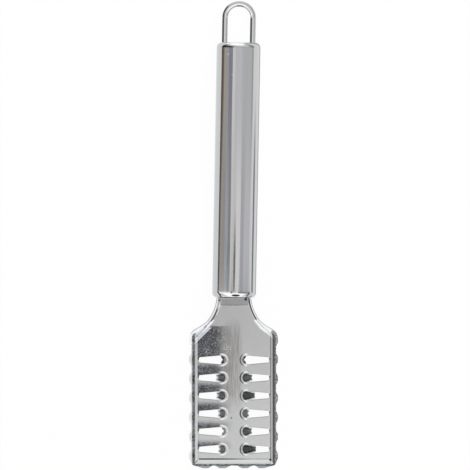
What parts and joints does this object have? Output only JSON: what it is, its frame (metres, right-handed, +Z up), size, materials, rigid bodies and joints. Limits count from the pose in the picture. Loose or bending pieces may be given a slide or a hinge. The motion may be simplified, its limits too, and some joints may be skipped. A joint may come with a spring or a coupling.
{
  "type": "fish scaler",
  "caption": "Steel fish scaler: a shallow toothed tray with slots and pressed-down tongues, on a straight tube handle with a wire hanging loop.",
  "frame": {"origin": "on the table under the middle of the overall length and width, with the tool lying on its teeth and its handle", "axes": "+Z up from the table, +Y from the front teeth to the hanging loop, +X across the head"},
  "size_m": [0.0426, 0.224, 0.021],
  "materials": {
    "head_steel": "polished stainless sheet with brushing, fine scratches and dull specks",
    "handle_steel": "polished stainless tube with soft lengthwise reflections",
    "loop_wire": "polished stainless wire"
  },
  "bodies": {
    "root": {"scraper_head": "head_steel", "mouth_cap": "handle_steel", "handle_tube": "handle_steel", "end_cap": "handle_steel", "hanging_loop": "loop_wire"}
  },
  "joints": []
}
